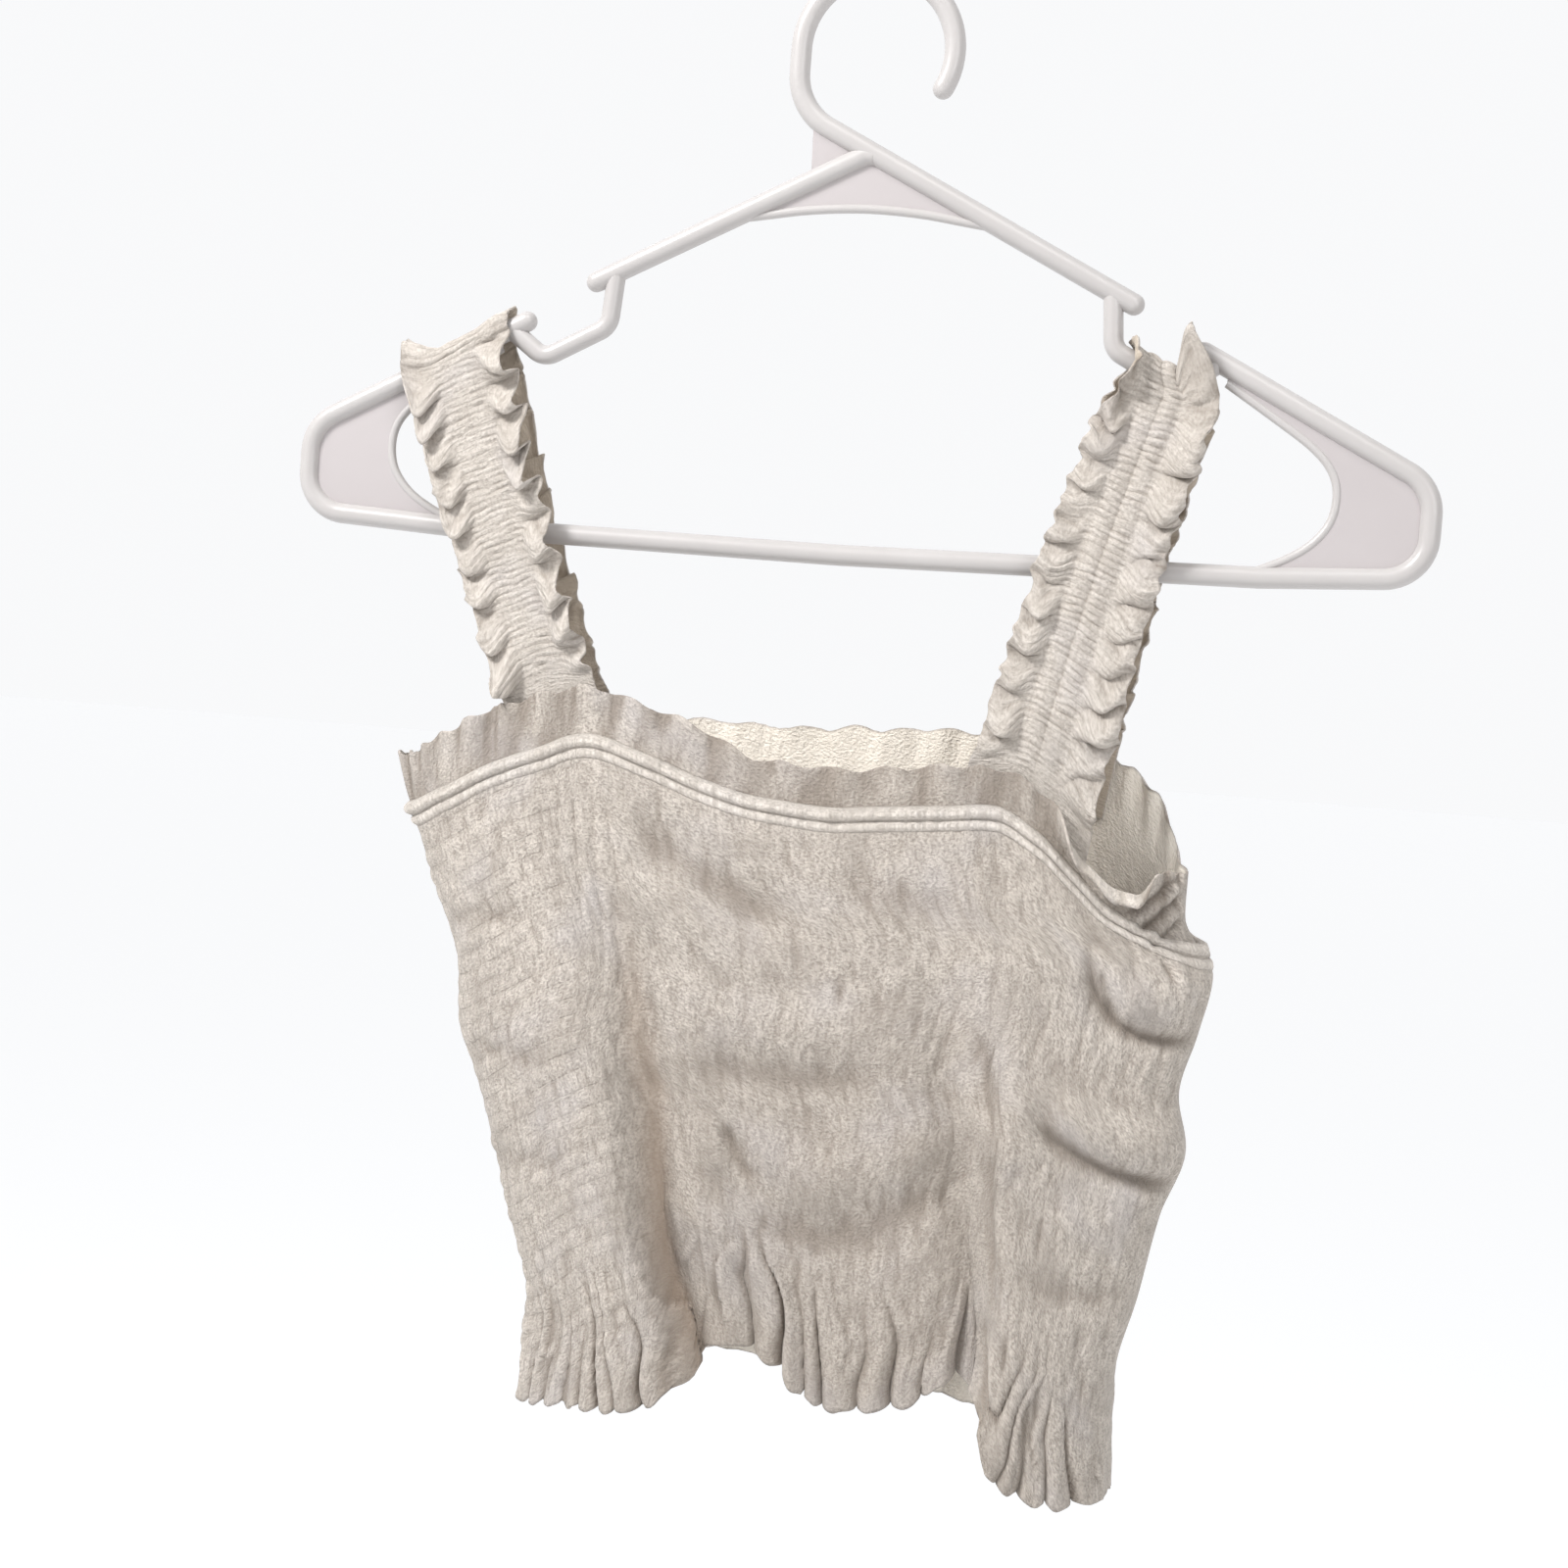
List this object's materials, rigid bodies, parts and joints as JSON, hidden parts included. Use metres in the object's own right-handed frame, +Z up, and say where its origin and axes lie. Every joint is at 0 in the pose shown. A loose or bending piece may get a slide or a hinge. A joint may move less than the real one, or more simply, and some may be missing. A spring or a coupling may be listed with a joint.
{
  "type": "smocked top on a hanger",
  "caption": "Cropped smocked top with a frilled neckline, wide ruffle-edged shirred straps and a ruffled hem, hanging on a tubular plastic hanger.",
  "frame": {"origin": "highest point inside the hanger's hook, where a rail carries it", "axes": "+Z up, +X to the viewer's right, the front of the top faces -Y; the hanger lies in the XZ plane"},
  "size_m": [0.4184, 0.0682, 0.5396],
  "materials": {
    "crinkled_cloth": "soft crinkled cotton, shirred, oatmeal",
    "casing_cloth": "the same cotton, doubled and stitched",
    "white_plastic": "satin white moulded plastic"
  },
  "bodies": {
    "root": {"front": "crinkled_cloth", "back": "crinkled_cloth", "casing_front": "casing_cloth", "casing_back": "casing_cloth", "strap_left": "crinkled_cloth", "strap_right": "crinkled_cloth", "hanger": "white_plastic"}
  },
  "joints": []
}
